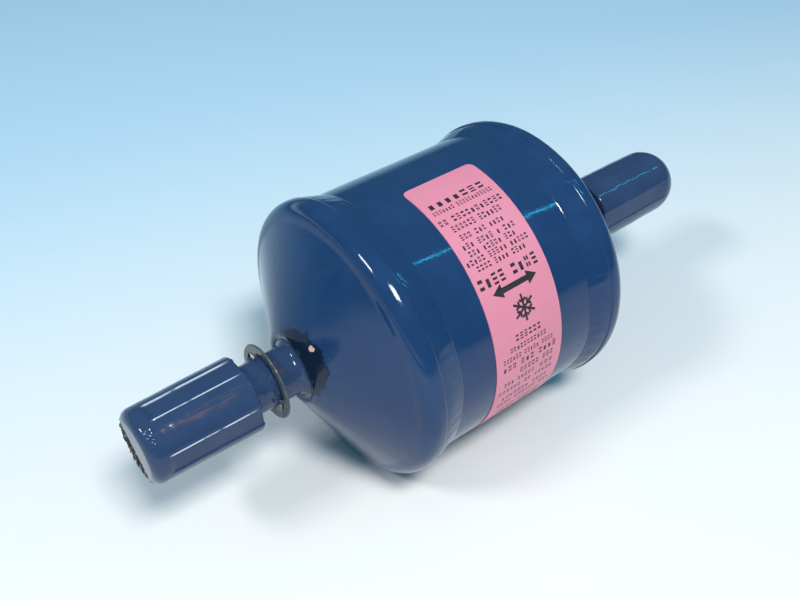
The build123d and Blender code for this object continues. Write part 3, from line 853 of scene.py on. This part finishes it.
def frost_star():
    """A six-armed frost star: three bars through its middle, and two short barbs on each arm."""
    places = []
    for arm in range(6):
        turn = np.radians(60 * arm + 30)
        places.append((0, 3.05, 0.0, turn))
        for lean in (-1, 1):
            places.append((1.35, 1.1, lean * np.radians(58), turn))
    skins = []
    for start, length, lean, turn in places:
        u, v = np.meshgrid(np.linspace(0, 1, 5), np.linspace(-0.5, 0.5, 2), indexing="ij")
        forward = start * np.array([np.cos(turn), np.sin(turn)])
        way = np.array([np.cos(turn + lean), np.sin(turn + lean)])
        side = np.array([-way[1], way[0]])
        flat = forward + way * (u * length)[..., None] + side * (v * 0.55)[..., None]
        skins.append(inked(flat[..., 0] + MARK_SHIFT, flat[..., 1] + STAR_AT))
    return skins


# ================================================================ put together
make("shell_tube_skin", shell_middle(), shell_paint, "body", ["shell_tube"])
for end in ENDS:
    make(f"end_cap_{end}_skin", end_cap(end), near_paint if end == "near" else shell_paint, "body",
         [f"end_cap_{end}"])
    make(f"weld_bead_{end}_skin", weld_bead(end), shell_paint, "body", [f"weld_bead_{end}"])
    make(f"fitting_{end}_skin", fitting(end), fitting_paint, "body", [f"fitting_{end}"])
    make(f"braze_{end}_skin", braze(end), braze_paint, "body", [f"braze_ring_{end}"])
    make(f"seal_cap_{end}_skin", seal_cap(end), worn_paint if end == "near" else rubber_paint,
         f"{end}_seal_cap", [f"seal_cap_{end}"])
make("keeper_ring_skin", keeper_ring(), ring_paint, "body", ["keeper_ring"])
make("label_skin", label_strip(), sheet_pink, "body", ["label"])
make("label_print", [print_dashes(), flow_arrow(), *frost_star()], print_ink, "body")

plain_steel = inner_metal("bare_steel", BARE_STEEL, (0.22, 0.20, 0.18, 1), 0.5, (1, 8, 8))
valve_steel = inner_metal("valve_steel", (0.6, 0.6, 0.61, 1), (0.35, 0.34, 0.33, 1), 0.3, (8, 1, 1), 1400.0)
spring_steel = inner_metal("spring_wire", (0.36, 0.36, 0.37, 1), (0.16, 0.13, 0.11, 1), 0.4, (1, 1, 1),
                           1800.0)
beads = grainy("bonded_desiccant", (0.74, 0.69, 0.60, 1), (0.42, 0.37, 0.30, 1), 900.0, 0.00015, 0.9)
felt = grainy("felt", (0.86, 0.84, 0.78, 1), (0.60, 0.57, 0.50, 1), 1900.0, 0.00008, 0.95)
INNER = {
    "desiccant_core": beads, "filter_sleeve": felt, "core_pad": felt, "centre_tube": plain_steel,
    "core_cup": plain_steel, "spacer": plain_steel, "valve_plate": plain_steel, "inlet_guide": plain_steel,
    "disc_cage": plain_steel, "inlet_ring": valve_steel, "outlet_disc": valve_steel,
    "load_spring": spring_steel,
}
for node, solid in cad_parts.items():
    finish = INNER.get(node.removesuffix("_near").removesuffix("_far"))
    if finish:
        solid.data.materials.clear()
        solid.data.materials.append(finish)


# ================================================================ floor, light and camera
# The floor's colours carry painted light: warm white where the lamps fall, pale blue towards the back, and
# dimmer with distance as the light falls off.
FLOOR_FRONT, FLOOR_BACK, FLOOR_DIM = (0.93, 0.91, 0.88, 1), (0.56, 0.79, 0.93, 1), (0.42, 0.62, 0.74, 1)
FLOOR_R, FLOOR_SIDES = 4.0, 96
FLOOR_WAY, FLOOR_TURN, FLOOR_FALLOFF = (0.25, 0.97, 0.0), (-0.06, 0.20), (0.42, 1.9)


def floor_finish():
    """Pale studio paper with painted light: warm white in front, pale blue towards the back, dimmer far
    off.
    """
    finish, tree, shader = shaded("studio_paper")
    point = object_point(tree)
    back = reach_along(tree, point, FLOOR_WAY)
    colour = mixed(tree, spread(tree, back, *FLOOR_TURN), FLOOR_FRONT, FLOOR_BACK)
    distance = put(tree, "ShaderNodeVectorMath", {0: point}, operation="LENGTH").outputs["Value"]
    colour = mixed(tree, spread(tree, distance, *FLOOR_FALLOFF), colour, FLOOR_DIM)
    wire(tree, shader, {"Base Color": colour, "Roughness": 0.9, "Specular IOR Level": 0.1})
    return finish


turn = np.linspace(0, 2 * np.pi, FLOOR_SIDES, endpoint=False)
level = np.full(FLOOR_SIDES, -CREST_R * MM)
disc = np.stack([FLOOR_R * np.cos(turn), FLOOR_R * np.sin(turn), level], axis=-1)
floor_mesh = bpy.data.meshes.new("studio_floor")
floor_mesh.from_pydata(disc.tolist(), [], [list(range(FLOOR_SIDES))])
floor_mesh.materials.append(floor_finish())
studio_floor = bpy.data.objects.new("studio_floor", floor_mesh)
bpy.context.scene.collection.objects.link(studio_floor)


def placed(right, up, back, where):
    """The matrix of something whose own axes point right, up and back, at a place."""
    rows = np.stack([right, up, back, where], axis=1)
    return Matrix([*rows.tolist(), (0, 0, 0, 1)])


def soft_box(name, azimuth, elevation, distance, width, height, power, colour):
    """A rectangular light that faces the origin from an azimuth, measured from -Y towards +X."""
    lamp = bpy.data.lights.new(name, "AREA")
    lamp.shape, lamp.size, lamp.size_y = "RECTANGLE", width, height
    lamp.energy, lamp.color = power, colour
    holder = bpy.data.objects.new(name, lamp)
    a, e = np.radians(azimuth), np.radians(elevation)
    way = np.array([np.sin(a) * np.cos(e), -np.cos(a) * np.cos(e), np.sin(e)])
    right = np.array([np.cos(a), np.sin(a), 0.0])
    up = np.cross(way, right)
    holder.matrix_world = placed(right, up, way, way * distance)
    holder.visible_camera = False
    bpy.context.scene.collection.objects.link(holder)


WARM_WHITE, CYAN = (1.0, 0.98, 0.95), (0.03, 0.60, 1.0)
soft_box("lamp_left", -97, 48, 0.7, 0.16, 0.08, 1.5, WARM_WHITE)
soft_box("lamp_front", -14, 60, 0.7, 0.20, 0.13, 3.7, WARM_WHITE)
soft_box("thin_strip", 64, 50, 0.9, 0.010, 0.30, 0.28, CYAN)
soft_box("far_strip", 75, 41.4, 0.95, 0.008, 0.16, 0.16, CYAN)

ROOM_LOW, ROOM_HIGH = (0.06, 0.15, 0.23, 1), (0.13, 0.27, 0.37, 1)
WALL_BAND, BEHIND = (0.95, 1.05, 0.92, 1), (0.42, 0.66, 0.80, 1)
BAND_WAY = (-0.95, 0.3, 0.0)

world = bpy.data.worlds.new("studio")
bpy.context.scene.world = world
world.use_nodes = True
sky = world.node_tree
backdrop = sky.nodes["Background"]
way = put(sky, "ShaderNodeTexCoord").outputs["Generated"]
height = coordinates(sky, way)[2]
room = mixed(sky, spread(sky, height, 0.0, 0.8), ROOM_LOW, ROOM_HIGH)
aside = spread(sky, reach_along(sky, way, BAND_WAY), -0.1, 0.4)
band = product(sky, spread(sky, height, 0.0, 0.04), spread(sky, height, 0.16, 0.09), aside)
room = mixed(sky, band, room, WALL_BAND)
seen = put(sky, "ShaderNodeLightPath").outputs["Is Camera Ray"]
sky.links.new(mixed(sky, seen, room, BEHIND), backdrop.inputs[0])

lens = bpy.data.cameras.new("camera")
lens.lens, lens.sensor_width, lens.sensor_fit = 40.5, 36.0, "HORIZONTAL"
lens.clip_start, lens.clip_end = 0.01, 20.0
camera = bpy.data.objects.new("camera", lens)
CAMERA_AT = (-0.10741, -0.12164, 0.13903)
RIGHT, UP, BACK = (0.7816, -0.6238, 0.0), (0.4102, 0.5139, 0.7534), (-0.4700, -0.5888, 0.6576)
camera.matrix_world = placed(RIGHT, UP, BACK, CAMERA_AT)
bpy.context.scene.collection.objects.link(camera)
bpy.context.scene.camera = camera
bpy.context.scene.view_settings.view_transform = "Standard"
